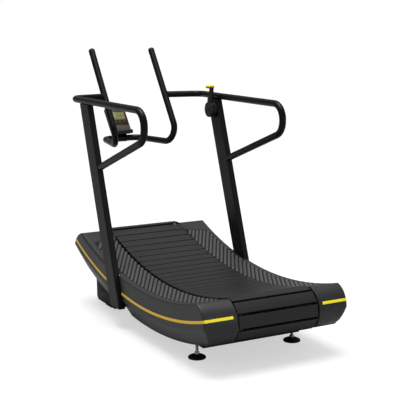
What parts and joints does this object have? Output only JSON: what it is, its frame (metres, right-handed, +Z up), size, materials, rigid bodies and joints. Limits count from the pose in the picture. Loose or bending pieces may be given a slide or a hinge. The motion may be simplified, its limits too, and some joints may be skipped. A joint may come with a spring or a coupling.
{
  "type": "curved manual treadmill",
  "caption": "Curved manual treadmill: a slatted belt in a hollow arc between ribbed foot rails, with uprights, side handrails, a handlebar, console and resistance lever.",
  "frame": {"origin": "on the floor at the centre of the machine's footprint box", "axes": "+X to the machine's right, +Y forward to the console, +Z up"},
  "size_m": [0.9214, 2.0632, 1.5681],
  "materials": {
    "frame_steel": "satin black powder coat",
    "powder_black": "satin black powder coat",
    "rail_black": "semi-gloss black paint",
    "bearing_steel": "ground steel",
    "zinc": "bright zinc plate",
    "cast_iron": "as cast, oiled",
    "pulley": "turned aluminium",
    "tread": "matt textured rubber",
    "belt_rubber": "matt black rubber",
    "cover": "fine moulded texture",
    "cap": "fine moulded texture with a soft sheen",
    "pad_rubber": "ribbed rubber",
    "yellow": "satin yellow",
    "plug": "moulded black",
    "console_black": "fine moulded texture",
    "lcd": "olive liquid crystal display behind a clear window",
    "key": "soft silicone",
    "foot_rubber": "matt black rubber"
  },
  "bodies": {
    "frame": {"base_frame": "frame_steel", "deck_plate_left": "frame_steel", "deck_plate_right": "frame_steel", "deck_spacers": "frame_steel", "guide_bearings": "bearing_steel", "bearing_studs": "zinc", "axle_bearings": "cast_iron", "drive_belt": "belt_rubber", "brake_stand": "frame_steel", "brake_cable": "belt_rubber", "rear_cover_left": "cover", "rear_cover_right": "cover", "front_cover_left": "cover", "front_cover_right": "cover", "rear_cap_left": "cap", "rear_cap_right": "cap", "foot_pad_left": "pad_rubber", "foot_pad_right": "pad_rubber", "trim_strips": "yellow", "upright_left": "powder_black", "upright_right": "powder_black", "upright_bolts": "zinc", "handrail_left": "rail_black", "handrail_right": "rail_black", "handlebar": "rail_black", "handlebar_plugs": "plug", "console_bracket": "powder_black", "console_housing": "console_black", "console_screen": "lcd", "lever_housing": "console_black", "front_legs": "powder_black", "front_feet": "foot_rubber", "foot_nuts": "zinc"},
    "belt_top_run": {"slats_top": "tread", "carriers_top": "belt_rubber"},
    "belt_front_turn": {"slats_front": "tread", "carriers_front": "belt_rubber"},
    "belt_bottom_run": {"slats_bottom": "tread", "carriers_bottom": "belt_rubber"},
    "belt_rear_turn": {"slats_rear": "tread", "carriers_rear": "belt_rubber"},
    "front_wheelset": {"front_axle": "bearing_steel", "front_pulleys": "pulley", "drive_pulley": "pulley"},
    "rear_wheelset": {"rear_axle": "bearing_steel", "rear_pulleys": "pulley"},
    "brake_rotor": {"brake_disc": "pulley", "brake_pulley": "pulley"},
    "lever": {"lever_arm": "console_black", "lever_cap": "yellow"},
    "caliper": {"magnet_caliper": "frame_steel", "brake_magnets": "zinc"},
    "up_key": {"button_up": "key"},
    "down_key": {"button_down": "key"},
    "left_key": {"button_left": "key"},
    "right_key": {"button_right": "key"},
    "left_foot": {"rear_foot_left": "foot_rubber", "foot_stem_left": "zinc"},
    "right_foot": {"rear_foot_right": "foot_rubber", "foot_stem_right": "zinc"}
  },
  "joints": [
    {"name": "belt_top", "type": "hinge", "parent": "frame", "child": "belt_top_run", "pos_m": [0, -0.3056, 2.59], "axis": [-1, 0, 0], "range_deg": [-0.86, 0.86]},
    {"name": "belt_front", "type": "hinge", "parent": "frame", "child": "belt_front_turn", "pos_m": [0, 0.5724, 0.35529], "axis": [1, 0, 0], "range_deg": [-22.11, 22.11]},
    {"name": "belt_bottom", "type": "hinge", "parent": "frame", "child": "belt_bottom_run", "pos_m": [0, -0.52829, 5.12904], "axis": [1, 0, 0], "range_deg": [-0.41, 0.41]},
    {"name": "belt_rear", "type": "hinge", "parent": "frame", "child": "belt_rear_turn", "pos_m": [0, -0.9156, 0.25641], "axis": [1, 0, 0], "range_deg": [-19.7, 19.7]},
    {"name": "front_axle_spin", "type": "hinge", "parent": "frame", "child": "front_wheelset", "pos_m": [0, 0.5724, 0.35529], "axis": [1, 0, 0], "continuous": true},
    {"name": "rear_axle_spin", "type": "hinge", "parent": "frame", "child": "rear_wheelset", "pos_m": [0, -0.9156, 0.25641], "axis": [1, 0, 0], "continuous": true},
    {"name": "brake_spin", "type": "hinge", "parent": "frame", "child": "brake_rotor", "pos_m": [0, 0.2944, 0.262], "axis": [1, 0, 0], "continuous": true},
    {"name": "lever_tilt", "type": "hinge", "parent": "frame", "child": "lever", "pos_m": [0, 0.40219, 1.191], "axis": [1, 0, 0], "range_deg": [-45, 30]},
    {"name": "caliper_tilt", "type": "hinge", "parent": "frame", "child": "caliper", "pos_m": [0, 0.1994, 0.3], "axis": [1, 0, 0], "range_deg": [-18, 12]},
    {"name": "up_press", "type": "slide", "parent": "frame", "child": "up_key", "axis": [0, 0.7771, -0.6293], "range_m": [0, 0.0012], "stiffness_N_per_m": 600},
    {"name": "down_press", "type": "slide", "parent": "frame", "child": "down_key", "axis": [0, 0.7771, -0.6293], "range_m": [0, 0.0012], "stiffness_N_per_m": 600},
    {"name": "left_press", "type": "slide", "parent": "frame", "child": "left_key", "axis": [0, 0.7771, -0.6293], "range_m": [0, 0.0012], "stiffness_N_per_m": 600},
    {"name": "right_press", "type": "slide", "parent": "frame", "child": "right_key", "axis": [0, 0.7771, -0.6293], "range_m": [0, 0.0012], "stiffness_N_per_m": 600},
    {"name": "left_foot_adjust", "type": "slide", "parent": "frame", "child": "left_foot", "axis": [0, 0, 1], "range_m": [-0.012, 0.012]},
    {"name": "right_foot_adjust", "type": "slide", "parent": "frame", "child": "right_foot", "axis": [0, 0, 1], "range_m": [-0.012, 0.012]}
  ],
  "couplings": [
    {"joint": "belt_front", "follows": "belt_top", "ratio": 25.648},
    {"joint": "belt_bottom", "follows": "belt_top", "ratio": 0.46319},
    {"joint": "belt_rear", "follows": "belt_top", "ratio": 22.858},
    {"joint": "rear_axle_spin", "follows": "front_axle_spin", "ratio": 0.8912},
    {"joint": "brake_spin", "follows": "front_axle_spin", "ratio": 3},
    {"joint": "caliper_tilt", "follows": "lever_tilt", "ratio": 0.4}
  ]
}
